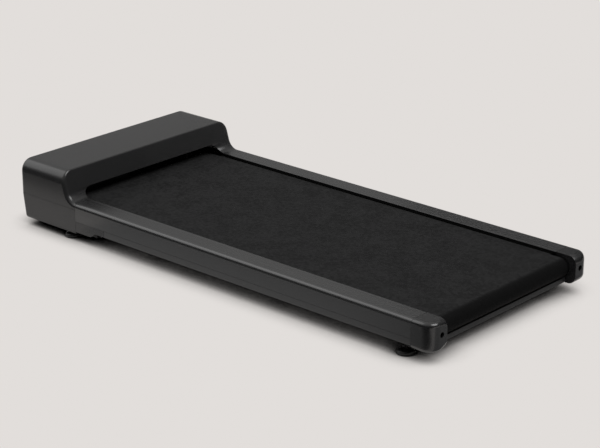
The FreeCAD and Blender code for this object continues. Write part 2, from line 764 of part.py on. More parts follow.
for word, sign in SIDES:
    points = [("side", "rail_bottom"), ("side", "rail_top"), ("rail_inner", "rail_top"),
              ("rail_inner", "rail_top - rail_lip"), ("rail_inner + rail_wall", "rail_top - rail_lip"),
              ("rail_inner + rail_wall", "rail_top - rail_wall"),
              ("side - rail_wall", "rail_top - rail_wall"), ("side - rail_wall", "rail_bottom")]
    section = [(f"{sign} * ({y})", z) for y, z in points]
    bar = profile(f"rail_bar_{word}", "YZ", section, "rail_front", "rail_back - seam_gap")

    def rail_edges(edge):
        if lies(edge, y=f"{sign} * side", z="rail_top"):
            return ("rail_edge", "rail_edge")
        if lies(edge, y=f"{sign} * (side - rail_wall)", z="rail_top - rail_wall"):
            return ("rail_edge - rail_wall", "rail_edge - rail_wall")
        if lies(edge, y=f"{sign} * rail_inner", z="rail_top"):
            return ("rail_inner_edge", "rail_inner_edge")
        return None

    soft = rounded(f"rail_soft_{word}", bar, rail_edges)
    notch = block(f"rail_notch_{word}", ("rail_front - cut_past", "skirt_back"),
                  both(sign, *past(("side - rail_wall", "side"))),
                  ("rail_bottom - cut_past", "groove_height"))
    groove = block(f"rail_groove_{word}", past(("rail_front", "rail_back")),
                   both(sign, "side - groove_size", "side + cut_past"),
                   ("groove_height - groove_size", "groove_height"))
    node(cut(f"side_rail_{word}", soft, [notch, groove]), f"side_rail_{word}")
    skirt = profile(f"side_skirt_{word}", "XZ", [
        ("rail_front", "skirt_bottom"), ("rail_front + skirt_flat", "skirt_bottom"),
        ("rail_front + skirt_flat + skirt_rise", "rail_bottom"),
        ("skirt_back - seam_gap", "rail_bottom"),
        ("skirt_back - seam_gap", "groove_height - groove_size"),
        ("rail_front", "groove_height - groove_size")],
        *both(sign, "side - rail_wall", "side"))
    node(skirt, f"side_skirt_{word}")

# End caps: rounded shells over the rear brackets, each with a key hole

def cap_solid(name, sign, inset, lead):
    outer = f"{sign} * (side - ({inset}))"
    back = f"rear - ({inset})"
    low = f"cap_bottom + ({inset})"
    top = f"rail_top - ({inset})"
    base = block(name + "_block", (f"rail_back - ({lead})", back),
                 both(sign, f"rail_inner + ({inset})", f"side - ({inset})"), (low, top))
    plan = rounded(name + "_plan", base, lambda edge: (
        (f"cap_corner - ({inset})",) * 2 if lies(edge, x=back, y=outer) else None))
    edge_size = f"max(rail_edge - ({inset}); cap_least_round)"

    def choose(edge):
        for level, full in ((top, f"cap_top_round - ({inset})"), (low, f"cap_low_round - ({inset})")):
            if not lies(edge, z=level):
                continue
            if lies(edge, y=outer):
                return (edge_size, edge_size)
            if lies(edge, x=back):
                return (full, full)
            box = edge.BoundBox
            if min(box.XLength, box.YLength) > REAL_EDGE:
                first = edge.valueAt(edge.FirstParameter).x
                last = edge.valueAt(edge.LastParameter).x
                return (edge_size, full) if first < last else (full, edge_size)
        return None

    return rounded(name + "_soft", plan, choose)


cap_screws = []
for word, sign in SIDES:
    shell = cap_solid(f"cap_outer_{word}", sign, "0", "0")
    hollow = cap_solid(f"cap_hollow_{word}", sign, "cap_wall", "cut_past")
    key_hole = rod(f"key_hole_{word}", "X", "key_hole_dia", past(("rear - cap_wall", "rear")),
                   (f"{sign} * bolt_y", "axle_height"))
    axle_slot = block(f"cap_axle_slot_{word}",
                      ("rail_back - cut_past", "rear_axle_x + axle_dia / 2 + cap_slot_gap"),
                      both(sign, *past(("rail_inner", "rail_inner + cap_wall"))),
                      about("axle_height", "axle_dia + 2 * cap_slot_gap"))
    bar_notch = block(f"cap_bar_notch_{word}", about("rear_axle_x", "rear_bar_length + 2 * fit_gap"),
                      both(sign, "rail_inner - cut_past", "rear_bar_half + fit_gap"),
                      ("cap_bottom - cut_past", "bracket_low + fit_gap"))
    screw_hole = rod(f"cap_screw_hole_{word}", "Z", "cap_screw_dia + 2 * fit_gap",
                     past(("cap_bottom", "cap_bottom + cap_wall")),
                     ("rail_back + cap_screw_x", f"{sign} * cap_screw_y"))
    openings = [hollow, key_hole, axle_slot, bar_notch, screw_hole]
    node(cut(f"end_cap_{word}", shell, openings), f"end_cap_{word}")
    cap_screws.append(turned(f"cap_screw_{word}", "Z", [
        ("0", "cap_bottom - cap_screw_head_high"),
        ("cap_screw_head / 2", "cap_bottom - cap_screw_head_high"),
        ("cap_screw_head / 2", "cap_bottom"), ("cap_screw_dia / 2", "cap_bottom"),
        ("cap_screw_dia / 2", "bracket_low + cap_screw_bite"), ("0", "bracket_low + cap_screw_bite")],
        ("rail_back + cap_screw_x", f"{sign} * cap_screw_y", "0")))
node(group("cap_screws", cap_screws), "cap_screws")

# Motor on its cradle, with shaft, flywheel and pulley

motor_spot = ("motor_ax", "motor_z")
motor_ends = ("motor_near", "motor_far")
can = rod("can_blank", "Y", "motor_dia", motor_ends, motor_spot)
can_bore = rod("can_bore", "Y", "shaft_dia + 2 * run_gap", past(motor_ends), motor_spot)
node(cut("motor_can", can, [can_bore]), "motor_can")
bells = []
for word, ends in (("near", ("motor_near - bell_thick", "motor_near")),
                   ("far", ("motor_far", "motor_far + bell_thick"))):
    disc = rod(f"bell_disc_{word}", "Y", "motor_dia - 2 * bell_inset", ends, motor_spot)
    bore = rod(f"bell_bore_{word}", "Y", "shaft_dia + 2 * run_gap", past(ends), motor_spot)
    bells.append(cut(f"bell_{word}", disc, [bore]))
node(group("motor_end_bells", bells), "motor_end_bells")
cradle_block = block("cradle_block", about("motor_ax", "cradle_length"),
                     ("motor_near + cradle_inset", "motor_far - cradle_inset"),
                     ("plate_top", "motor_z - cradle_drop"))
cradle_seat = rod("cradle_seat", "Y", "motor_dia", motor_ends, motor_spot)
node(cut("motor_cradle", cradle_block, [cradle_seat]), "motor_cradle")
shaft_ends = ("pulley_y", "motor_far + bell_thick")
node(rod("motor_shaft", "Y", "shaft_dia", shaft_ends, motor_spot), "motor_shaft")


def on_shaft(name, dia, ends):
    disc = rod(name + "_disc", "Y", dia, ends, motor_spot)
    bore = rod(name + "_bore", "Y", "shaft_dia", past(ends), motor_spot)
    return cut(name, disc, [bore])


flywheel_ends = ("flywheel_y", "flywheel_y + flywheel_thick")
node(on_shaft("flywheel", "flywheel_dia", flywheel_ends), "flywheel")


def pulley(name, dia, bore, centre_x, centre_z):
    """A flat pulley with a low flange at each end."""
    radius, rim, hole = f"({dia}) / 2", f"({dia}) / 2 + flange_rise", f"({bore}) / 2"
    body = turned(name, "Y", [
        (hole, "0"), (rim, "0"), (rim, "flange_thick"), (radius, "flange_thick"),
        (radius, "pulley_width - flange_thick"), (rim, "pulley_width - flange_thick"),
        (rim, "pulley_width"), (hole, "pulley_width")], (centre_x, "pulley_y", centre_z))
    return node(body, name)


pulley("motor_pulley", "motor_pulley_dia", "shaft_dia", *motor_spot)
pulley("drive_pulley", "drive_pulley_dia", "axle_dia + 2 * run_gap", "drive_axle_x", "axle_height")
drive_inset = "flange_thick + drive_belt_margin"
drive_ends = (number(f"pulley_y + {drive_inset}"), number(f"pulley_y + pulley_width - ({drive_inset})"))
node(loop("drive_belt", (number("motor_ax"), number("motor_z"), number("motor_pulley_dia / 2 + belt_gap")),
          (number("drive_axle_x"), number("axle_height"), number("drive_pulley_dia / 2 + belt_gap")),
          number("drive_belt_thick"), drive_ends), "drive_belt")

# Controller board on standoffs with a finned heat sink

board_x = ("board_front", "board_back")
board_y = ("board_mid_gap", "board_far")
board = block("controller_board", board_x, board_y, ("board_low", "board_low + board_thick"))
node(board, "controller_board")
stands = []
for index in range(4):
    side_x = board_x[index % 2] + (" + standoff_dia" if index % 2 == 0 else " - standoff_dia")
    side_y = board_y[index // 2] + (" + standoff_dia" if index // 2 == 0 else " - standoff_dia")
    stands.append(rod(f"standoff_{index}", "Z", "standoff_dia", ("plate_top", "board_low"),
                      (side_x, side_y)))
node(group("board_standoffs", stands), "board_standoffs")
sink_low = "board_low + board_thick"
sink_x = ("board_front + sink_inset", "board_back - sink_inset")
sink_y = "board_mid_gap + sink_start"
fins = [block("sink_base", sink_x, (sink_y, f"{sink_y} + sink_width"), (sink_low, f"{sink_low} + sink_base"))]
for index in range(SIZES["fin_count"]):
    start = f"{sink_y} + {index} * (sink_width - fin_thick) / (fin_count - 1)"
    fins.append(block(f"fin_{index}", sink_x, (start, f"{start} + fin_thick"),
                      (sink_low, f"{sink_low} + sink_high")))
node(join("heat_sink", fins), "heat_sink")

# Power inlet and rocker switch in the front wall of the tray

inlet_body = block("inlet_body", ("panel_x", "front + inlet_deep"),
                   about("inlet_y", "inlet_wide"), about("inlet_z", "inlet_high"))
inlet_hollow = block("inlet_hollow", ("panel_x - cut_past", "panel_x + inlet_mouth"),
                     about("inlet_y", "inlet_wide - 2 * inlet_wall"),
                     about("inlet_z", "inlet_high - 2 * inlet_wall"))
node(cut("power_inlet", inlet_body, [inlet_hollow]), "power_inlet")
pins = []
for index in (-1, 0, 1):
    rise = "pin_rise" if index == 0 else "-pin_rise"
    pins.append(block(f"inlet_pin_{index + 1}",
                      ("panel_x + inlet_mouth - pin_long", "panel_x + inlet_mouth"),
                      about(f"inlet_y + {index} * pin_pitch", "pin_thick"),
                      about(f"inlet_z + {rise}", "pin_wide")))
node(group("inlet_pins", pins), "inlet_pins")
frame_body = block("switch_body", ("panel_x", "front + switch_deep"),
                   about("switch_y", "switch_wide"), about("inlet_z", "switch_high"))
frame_hollow = block("switch_hollow", ("panel_x - cut_past", "front + switch_deep - 2 * switch_rim"),
                     about("switch_y", "switch_wide - 2 * switch_rim"),
                     about("inlet_z", "switch_high - 2 * switch_rim"))
frame_pin = rod("switch_pin_seat", "Y", "rocker_pin_dia", about("switch_y", "switch_wide - switch_rim / 2"),
                ("panel_x + rocker_pin_deep", "inlet_z"))
node(cut("switch_frame", frame_body, [frame_hollow, frame_pin]), "switch_frame")
rock_half = "switch_high / 2 - switch_rim - rocker_end_gap"
rocker_body = profile("rocker_body", "XZ", [
    ("panel_x - rocker_proud", f"inlet_z - ({rock_half})"), ("panel_x + rocker_dip", "inlet_z"),
    ("panel_x + rocker_sunk", f"inlet_z + ({rock_half})"),
    ("panel_x + rocker_waist", f"inlet_z + ({rock_half}) - rocker_taper"),
    ("panel_x + rocker_back", "inlet_z + rocker_back_half"),
    ("panel_x + rocker_back", "inlet_z - rocker_back_half"),
    ("panel_x + rocker_waist", f"inlet_z - ({rock_half}) + rocker_taper")],
    *about("switch_y", "switch_wide - 2 * switch_rim - 2 * fit_gap"))
rocker_pin = rod("rocker_pin", "Y", "rocker_pin_dia - 2 * run_gap",
                 about("switch_y", "switch_wide - switch_rim / 2 - 2 * fit_gap"),
                 ("panel_x + rocker_pin_deep", "inlet_z"))
node(join("switch_rocker", [rocker_body, rocker_pin]), "switch_rocker")

# Transport wheels on pins between the ribs of the tray

for word, sign in SIDES:
    centre = ("front + wheel_x", f"{sign} * wheel_y - wheel_width / 2", "wheel_z")
    hole = "wheel_pin_dia / 2 + run_gap"
    node(turned(f"transport_wheel_{word}", "Y", [
        (hole, "0"), ("wheel_dia / 2 - wheel_bevel", "0"), ("wheel_dia / 2", "wheel_bevel"),
        ("wheel_dia / 2", "wheel_width - wheel_bevel"), ("wheel_dia / 2 - wheel_bevel", "wheel_width"),
        (hole, "wheel_width")], centre), f"transport_wheel_{word}")
    reach = "wheel_width / 2 + wheel_side_gap + wheel_rib"
    pin = rod(f"wheel_pin_{word}", "Y", "wheel_pin_dia", about(f"{sign} * wheel_y", f"2 * ({reach})"),
              ("front + wheel_x", "wheel_z"))
    node(pin, f"wheel_pin_{word}")

# Levelling feet: a rubber pad under a threaded stud

feet = (("front", "front + foot_front_x", "side - foot_front_inset", "plate_top"),
        ("rear", "rear - foot_rear_back", "side - foot_rear_inset", "rail_bottom + tube_wall"))
for place_word, foot_x, foot_y, base_z in feet:
    for word, sign in SIDES:
        centre = (foot_x, f"{sign} * ({foot_y})", "0")
        node(turned(f"foot_pad_{place_word}_{word}", "Z", [
            ("0", "0"), ("foot_dia / 2 - foot_bevel / 2", "0"), ("foot_dia / 2", "foot_bevel / 2"),
            ("foot_dia / 2", "foot_thick - foot_bevel"), ("foot_dia / 2 - foot_bevel", "foot_thick"),
            ("0", "foot_thick")], centre), f"foot_pad_{place_word}_{word}")
        node(turned(f"foot_stud_{place_word}_{word}", "Z", [
            ("0", "foot_thick"), ("foot_neck_dia / 2", "foot_thick"),
            ("foot_neck_dia / 2", "foot_thick + foot_neck_high"),
            ("stud_dia / 2", "foot_thick + foot_neck_high"),
            ("stud_dia / 2", f"{base_z} + stud_reach"), ("0", f"{base_z} + stud_reach")], centre),
            f"foot_stud_{place_word}_{word}")

doc.recompute()
problems = []
for thing in doc.Objects:
    if "Invalid" in thing.State or "Error" in thing.State:
        problems.append(f"{thing.Name}: {thing.State}")
for thing in nodes:
    if thing.Shape.isNull() or not thing.Shape.isValid() or not thing.Shape.Solids:
        problems.append(f"{thing.Label}: bad shape")
if problems:
    raise RuntimeError("; ".join(problems))
for thing in nodes:
    thing.Shape.exportStep(f"parts/{thing.Label}.step")
print(len(nodes), "nodes written")
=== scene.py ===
import json
import math

import bpy
import bmesh
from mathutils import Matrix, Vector


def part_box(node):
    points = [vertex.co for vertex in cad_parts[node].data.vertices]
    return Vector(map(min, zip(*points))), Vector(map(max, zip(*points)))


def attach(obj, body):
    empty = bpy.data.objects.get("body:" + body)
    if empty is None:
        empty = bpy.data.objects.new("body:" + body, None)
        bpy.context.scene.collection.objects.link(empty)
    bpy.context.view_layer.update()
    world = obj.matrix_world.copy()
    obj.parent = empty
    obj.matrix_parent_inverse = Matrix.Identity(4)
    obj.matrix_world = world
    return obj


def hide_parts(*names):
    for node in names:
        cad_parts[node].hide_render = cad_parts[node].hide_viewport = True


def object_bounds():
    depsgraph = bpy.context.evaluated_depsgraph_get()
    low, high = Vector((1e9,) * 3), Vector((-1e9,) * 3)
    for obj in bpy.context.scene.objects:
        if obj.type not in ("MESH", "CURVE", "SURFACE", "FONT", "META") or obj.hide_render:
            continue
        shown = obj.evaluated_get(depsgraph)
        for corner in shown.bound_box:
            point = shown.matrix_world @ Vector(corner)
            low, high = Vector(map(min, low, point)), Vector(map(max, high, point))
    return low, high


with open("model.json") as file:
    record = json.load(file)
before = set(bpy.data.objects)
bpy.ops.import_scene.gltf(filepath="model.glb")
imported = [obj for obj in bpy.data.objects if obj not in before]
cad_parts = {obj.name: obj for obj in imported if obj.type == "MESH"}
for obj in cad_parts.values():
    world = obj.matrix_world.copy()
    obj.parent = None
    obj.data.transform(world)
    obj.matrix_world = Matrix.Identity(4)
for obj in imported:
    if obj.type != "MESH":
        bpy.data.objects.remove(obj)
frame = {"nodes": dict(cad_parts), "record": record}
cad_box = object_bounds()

nodes = frame["nodes"]

# Lengths are in metres, or in millimetres times this
MM = 0.001

# Camera of the photograph: where it stands, which way it looks in degrees, and its lens in millimetres
CAMERA_PLACE = (2.6228, -2.8838, 1.5353)
CAMERA_YAW = 132.050
CAMERA_PITCH = 20.575
CAMERA_LENS = 115.93
SENSOR_WIDTH = 36.0
CAMERA_REACH = 100.0


def look_along(yaw, pitch):
    turn, drop = math.radians(yaw), math.radians(pitch)
    return Vector((math.cos(turn) * math.cos(drop), math.sin(turn) * math.cos(drop), -math.sin(drop)))


def make_camera():
    data = bpy.data.cameras.new("camera")
    data.lens = CAMERA_LENS
    data.sensor_width = SENSOR_WIDTH
    data.clip_end = CAMERA_REACH
    camera = bpy.data.objects.new("camera", data)
    camera.location = CAMERA_PLACE
    camera.rotation_mode = "QUATERNION"
    camera.rotation_quaternion = look_along(CAMERA_YAW, CAMERA_PITCH).to_track_quat("-Z", "Y")
    bpy.context.scene.collection.objects.link(camera)
    bpy.context.scene.camera = camera


make_camera()


# Steps in node trees, shared by the materials and the sky
def put(tree, value, socket):
    """Sets a socket to a number, or links another socket to it."""
    if isinstance(value, (int, float)):
        socket.default_value = value
    else:
        tree.links.new(value, socket)


def calc(tree, kind, first, second=0.0):
    """One step of arithmetic."""
    node = tree.nodes.new("ShaderNodeMath")
    node.operation = kind
    put(tree, first, node.inputs[0])
    put(tree, second, node.inputs[1])
    return node.outputs["Value"]


def spread(tree, value, low, high, start=0.0, end=1.0, kind="LINEAR"):
    """A value from start to end mapped to low to high, held at the ends."""
    node = tree.nodes.new("ShaderNodeMapRange")
    node.interpolation_type = kind
    for key, number in (("From Min", start), ("From Max", end), ("To Min", low), ("To Max", high)):
        node.inputs[key].default_value = number
    tree.links.new(value, node.inputs["Value"])
    return node.outputs["Result"]


def part_of(tree, vector, axis):
    """One of the three parts of a vector."""
    node = tree.nodes.new("ShaderNodeSeparateXYZ")
    tree.links.new(vector, node.inputs["Vector"])
    return node.outputs[axis]


class Surface:
    """A node material that is built up in layers: colour, roughness and relief."""

    def __init__(self, name, colour, rough, metal=0.0, shine=0.5):
        self.material = bpy.data.materials.new(name)
        self.material.use_nodes = True
        self.tree = self.material.node_tree
        self.shader = self.tree.nodes["Principled BSDF"]
        self.shader.inputs["Base Color"].default_value = (*colour, 1.0)
        self.shader.inputs["Roughness"].default_value = rough
        self.shader.inputs["Metallic"].default_value = metal
        self.shader.inputs["Specular IOR Level"].default_value = shine
        self.colour = colour
        self.relief = None
        self.coords = self.tree.nodes.new("ShaderNodeTexCoord").outputs["Object"]

    def link(self, start, end):
        self.tree.links.new(start, end)

    def math(self, kind, first, second=0.0):
        return calc(self.tree, kind, first, second)

    def spread(self, value, low, high, start=0.0, end=1.0):
        return spread(self.tree, value, low, high, start, end)

    def noise(self, scale, detail, stretch=(1.0, 1.0, 1.0)):
        """Cloudy noise in the object's coordinates, which the stretch multiplies on each axis."""
        mapping = self.tree.nodes.new("ShaderNodeMapping")
        mapping.inputs["Scale"].default_value = stretch
        self.link(self.coords, mapping.inputs["Vector"])
        node = self.tree.nodes.new("ShaderNodeTexNoise")
        node.inputs["Scale"].default_value = scale
        node.inputs["Detail"].default_value = detail
        self.link(mapping.outputs["Vector"], node.inputs["Vector"])
        return node.outputs["Fac"]

    def cells(self, scale):
        """Distance from the middle of small cells, for a weave."""
        node = self.tree.nodes.new("ShaderNodeTexVoronoi")
        node.inputs["Scale"].default_value = scale
        self.link(self.coords, node.inputs["Vector"])
        return node.outputs["Distance"]

    def along(self, axis):
        """One of the object's coordinates."""
        return part_of(self.tree, self.coords, axis)

    def upward(self):
        """How squarely the surface faces up: one on a level top, zero on the sides."""
        facing = self.tree.nodes.new("ShaderNodeNewGeometry").outputs["Normal"]
        return self.math("MAXIMUM", part_of(self.tree, facing, "Z"), 0.0)

    def blend(self, first, second, share):
        """A share of the first value and the rest of the second."""
        rest = self.math("MULTIPLY", second, 1.0 - share)
        return self.math("ADD", self.math("MULTIPLY", first, share), rest)

    def seen(self):
        """One for the eye, for reflections and for what shows through glass, zero for light that bounces."""
        path = self.tree.nodes.new("ShaderNodeLightPath").outputs
        direct = self.math("MAXIMUM", path["Is Camera Ray"], path["Is Glossy Ray"])
        return self.math("MAXIMUM", direct, path["Is Transmission Ray"])

    def tint(self, value, dark, light, start=0.35, end=0.65):
        """Colour that runs between two multiples of the base colour."""
        node = self.tree.nodes.new("ShaderNodeMix")
        node.data_type = "RGBA"
        inputs = {socket.identifier: socket for socket in node.inputs}
        inputs["A_Color"].default_value = (*(dark * part for part in self.colour), 1.0)
        inputs["B_Color"].default_value = (*(light * part for part in self.colour), 1.0)
        self.link(self.spread(value, 0.0, 1.0, start, end), inputs["Factor_Float"])
        outputs = {socket.identifier: socket for socket in node.outputs}
        self.link(outputs["Result_Color"], self.shader.inputs["Base Color"])

    def dimmed(self, value, share, start, end):
        """Takes a tinted colour down to a share of itself where a value is at its start."""
        node = self.tree.nodes.new("ShaderNodeVectorMath")
        node.operation = "SCALE"
        self.link(self.shader.inputs["Base Color"].links[0].from_socket, node.inputs[0])
        self.link(self.spread(value, share, 1.0, start, end), node.inputs["Scale"])
        self.link(node.outputs["Vector"], self.shader.inputs["Base Color"])

    def gloss(self, value, low, high, start=0.3, end=0.7):
        """Roughness that runs from low to high."""
        self.link(self.spread(value, low, high, start, end), self.shader.inputs["Roughness"])

    def bump(self, value, depth, strength):
        """Adds a layer of relief."""
        node = self.tree.nodes.new("ShaderNodeBump")
        node.inputs["Strength"].default_value = strength
        node.inputs["Distance"].default_value = depth
        self.link(value, node.inputs["Height"])
        if self.relief is not None:
            self.link(self.relief, node.inputs["Normal"])
        self.relief = node.outputs["Normal"]
        self.link(self.relief, self.shader.inputs["Normal"])

    def glowing(self, colour):
        """Shows a colour as it is, whatever the light."""
        self.shader.inputs["Emission Color"].default_value = (*colour, 1.0)
        self.shader.inputs["Emission Strength"].default_value = 1.0
        self.material.cycles.emission_sampling = "NONE"

    def shaded(self, colour, reach, rays, tilt, ends):
        """Where it is seen, a colour as light as the spot is open within reach, on the side of the tilt."""
        side = self.tree.nodes.new("ShaderNodeCombineXYZ")
        for socket, part in zip(side.inputs, Vector(tilt).normalized()):
            socket.default_value = part
        cover = self.tree.nodes.new("ShaderNodeAmbientOcclusion")
        cover.samples = rays
        cover.inputs["Distance"].default_value = reach
        self.link(side.outputs["Vector"], cover.inputs["Normal"])
        glow = self.tree.nodes.new("ShaderNodeEmission")
        glow.inputs["Color"].default_value = (*colour, 1.0)
        openness = spread(self.tree, cover.outputs["AO"], 0.0, 1.0, *ends, "SMOOTHSTEP")
        self.link(openness, glow.inputs["Strength"])
        choice = self.tree.nodes.new("ShaderNodeMixShader")
        self.link(self.seen(), choice.inputs["Fac"])
        self.link(self.shader.outputs["BSDF"], choice.inputs[1])
        self.link(glow.outputs["Emission"], choice.inputs[2])
        self.link(choice.outputs["Shader"], self.tree.nodes["Material Output"].inputs["Surface"])
        self.material.cycles.emission_sampling = "NONE"


def moulded(name, colour, rough, shine=0.5):
    """Satin moulded plastic with a fine spark texture and faint handling marks."""
    skin = Surface(name, colour, rough, shine=shine)
    skin.tint(skin.noise(scale=9.0, detail=4.0), dark=0.94, light=1.06)
    skin.gloss(skin.noise(scale=26.0, detail=5.0), low=rough - 0.02, high=rough + 0.02)
    skin.bump(skin.noise(scale=900.0, detail=2.0), depth=0.06 * MM, strength=0.5)
    return skin.material


# Brushed metal: its marks run along the object
NOISE_MIDDLE = 0.5
SHORT_MARKS = (1.5, 900.0, 900.0)
LONG_MARKS = (0.6, 225.0, 225.0)

# Rail lips: a rail is darkened nearly to black at its inner edge beside the belt, painted shade for the gap
# between rail and belt, and turns to its own colour there
RAIL_INNER = min(abs(corner[1]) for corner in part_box("side_rail_left"))
LIP_START, LIP_END = 0.4 * MM, 1.3 * MM
LIP_SHARE = 0.1


def brushed(name, colour, rough, metal, painted_shade_lips):
    """Anodised metal with long brush marks on the faces that look up."""
    skin = Surface(name, colour, rough, metal, shine=0.8)
    short_marks = skin.noise(scale=1.0, detail=3.0, stretch=SHORT_MARKS)
    long_marks = skin.noise(scale=1.0, detail=4.0, stretch=LONG_MARKS)
    marks = skin.math("SUBTRACT", skin.blend(short_marks, long_marks, share=0.5), NOISE_MIDDLE)
    shown = skin.math("ADD", skin.math("MULTIPLY", marks, skin.upward()), NOISE_MIDDLE)
    skin.tint(shown, dark=0.7, light=1.3, start=0.38, end=0.62)
    skin.gloss(shown, low=rough - 0.05, high=rough + 0.05, start=0.35, end=0.65)
    # Painted shade: the inner lip face above the belt is darkened nearly to black
    if painted_shade_lips:
        across = skin.math("ABSOLUTE", skin.along("Y"))
        skin.dimmed(across, LIP_SHARE, RAIL_INNER + LIP_START, RAIL_INNER + LIP_END)
    return skin.material


def painted(name, colour, rough):
    """Powder-coated metal with orange peel."""
    skin = Surface(name, colour, rough, shine=0.25)
    skin.tint(skin.noise(scale=14.0, detail=4.0), dark=0.88, light=1.12)
    skin.gloss(skin.noise(scale=60.0, detail=4.0), low=rough - 0.06, high=rough + 0.06)
    skin.bump(skin.noise(scale=420.0, detail=2.0), depth=0.12 * MM, strength=0.5)
    return skin.material


def turned_steel(name, colour, rough):
    """Bare metal with fine tool rings across the object."""
    skin = Surface(name, colour, rough, metal=1.0)
    rings = skin.noise(scale=1.0, detail=3.0, stretch=(300.0, 2200.0, 300.0))
    skin.tint(skin.noise(scale=30.0, detail=4.0), dark=0.85, light=1.1)
    skin.gloss(rings, low=rough - 0.08, high=rough + 0.1)
    skin.bump(rings, depth=0.01 * MM, strength=0.4)
    return skin.material


def rubbery(name, colour, rough):
    """Dull rubber with a fine grain."""
    skin = Surface(name, colour, rough)
    skin.tint(skin.noise(scale=40.0, detail=4.0), dark=0.8, light=1.25)
    skin.gloss(skin.noise(scale=90.0, detail=3.0), low=rough - 0.06, high=rough + 0.05)
    skin.bump(skin.noise(scale=1400.0, detail=2.0), depth=0.05 * MM, strength=0.5)
    return skin.material


# Belt sheen: painted sheen lightens the belt where it is level and fades out from the first place along the
# belt to the last; where the belt turns away from level it is darkened, painted shade
SHEEN_EDGE = 20.0
SHEEN_SHARES, SHEEN_PLACES = (1.06, 0.88), (-0.45, 0.57)
SHADED_BELT, SHEENED_BELT = 0.24, 1.25


def belt_cloth(name, colour, rough):
    """Walking belt: a fine woven top, lightened by painted sheen where it lies level and blackened by painted
    shade where it turns away.
    """
    skin = Surface(name, colour, rough, shine=0.06)
    mottle = skin.blend(skin.noise(scale=140.0, detail=6.0), skin.noise(scale=22.0, detail=4.0), share=0.65)
    # Painted sheen on the level belt, fading towards the rear end, and painted shade where it turns round the
    # rollers
    level = skin.math("POWER", skin.upward(), SHEEN_EDGE)
    sheen = skin.math("MULTIPLY", level, skin.spread(skin.along("X"), *SHEEN_SHARES, *SHEEN_PLACES))
    sheen_spots = skin.math("MULTIPLY", sheen, skin.spread(mottle, low=0.45, high=1.05, start=0.4, end=0.6))
    skin.tint(sheen_spots, SHADED_BELT, SHEENED_BELT, start=0.0, end=1.0)
    skin.gloss(mottle, low=rough - 0.05, high=rough + 0.06, start=0.4, end=0.6)
    skin.bump(skin.cells(scale=420.0), depth=0.12 * MM, strength=0.6)
    skin.bump(skin.noise(scale=160.0, detail=4.0), depth=0.2 * MM, strength=0.5)
    return skin.material


def laminate(name, colour, rough):
    """Pressed board with a faint grain."""
    skin = Surface(name, colour, rough)
    skin.tint(skin.noise(scale=18.0, detail=5.0), dark=0.85, light=1.15)
    skin.gloss(skin.noise(scale=45.0, detail=4.0), low=rough - 0.05, high=rough + 0.08)
    skin.bump(skin.noise(scale=500.0, detail=2.0), depth=0.04 * MM, strength=0.4)
    return skin.material


LOOKS = {
    "hood_plastic": moulded("hood_plastic", (0.019, 0.019, 0.0194), 0.25),
    "skirt_plastic": moulded("skirt_plastic", (0.02, 0.02, 0.0204), 0.27),
    "cap_plastic": moulded("cap_plastic", (0.012, 0.012, 0.0123), 0.25, shine=0.68),
    "rail_aluminium": brushed("rail_aluminium", (0.021, 0.021, 0.0214), 0.27, 0.05, painted_shade_lips=True),
    "belt_rubber": belt_cloth("belt_rubber", (0.0172, 0.0172, 0.0175), 0.75),
    "frame_paint": painted("frame_paint", (0.007, 0.007, 0.0074), 0.5),
    "grey_paint": painted("grey_paint", (0.02, 0.02, 0.0205), 0.45),
    "deck_wood": laminate("deck_wood", (0.012, 0.012, 0.012), 0.6),
    "cushion_rubber": rubbery("cushion_rubber", (0.018, 0.018, 0.018), 0.75),
    "foot_rubber": rubbery("foot_rubber", (0.006, 0.006, 0.0062), 0.36),
    "stud_steel": turned_steel("stud_steel", (0.06, 0.06, 0.062), 0.42),
    "bright_steel": turned_steel("bright_steel", (0.3, 0.3, 0.305), 0.4),
    "motor_paint": painted("motor_paint", (0.018, 0.018, 0.018), 0.4),
    "bell_alloy": painted("bell_alloy", (0.02, 0.02, 0.0205), 0.55),
    "flywheel_iron": turned_steel("flywheel_iron", (0.2, 0.2, 0.2), 0.45),
    "pulley_alloy": turned_steel("pulley_alloy", (0.55, 0.55, 0.56), 0.38),
    "drive_rubber": rubbery("drive_rubber", (0.016, 0.016, 0.016), 0.7),
    "board_laminate": laminate("board_laminate", (0.012, 0.07, 0.03), 0.4),
    "sink_alloy": brushed("sink_alloy", (0.5, 0.5, 0.51), 0.4, 1.0, painted_shade_lips=False),
    "brass": turned_steel("brass", (0.6, 0.44, 0.18), 0.35),
    "inlet_plastic": moulded("inlet_plastic", (0.014, 0.014, 0.0145), 0.45),
    "rocker_plastic": moulded("rocker_plastic", (0.32, 0.012, 0.012), 0.3),
    "wheel_plastic": moulded("wheel_plastic", (0.016, 0.016, 0.016), 0.5),
}

for row in frame["record"]["subparts"]:
    piece = nodes[row["node"]]
    piece.data.materials.clear()
    piece.data.materials.append(LOOKS[row["material_slot"]])

# Shell edges: the moulded shells meet in narrow seams, so their faces are welded and their sharp edges eased
SHELLS = ("hood_cover", "base_tray", "side_skirt_left", "side_skirt_right", "end_cap_left", "end_cap_right")
SHELL_EASE = 0.7 * MM
SHELL_EASE_STEPS = 2
SHELL_SHARP = math.radians(40.0)
SHELL_WELD = 0.002 * MM
for shell_name in SHELLS:
    weld = nodes[shell_name].modifiers.new("weld", "WELD")
    weld.merge_threshold = SHELL_WELD
    ease = nodes[shell_name].modifiers.new("ease", "BEVEL")
    ease.width = SHELL_EASE
    ease.segments = SHELL_EASE_STEPS
    ease.limit_method = "ANGLE"
    ease.angle_limit = SHELL_SHARP

# Pieces made here in place of plain solids
SMOOTH_BELOW = math.radians(38.0)
ROUND_STEPS = 48


def bridge(form, first, second):
    """Faces between two rings of equally many corners."""
    for index in range(len(first)):
        after = (index + 1) % len(first)
        form.faces.new((first[index], first[after], second[after], second[index]))


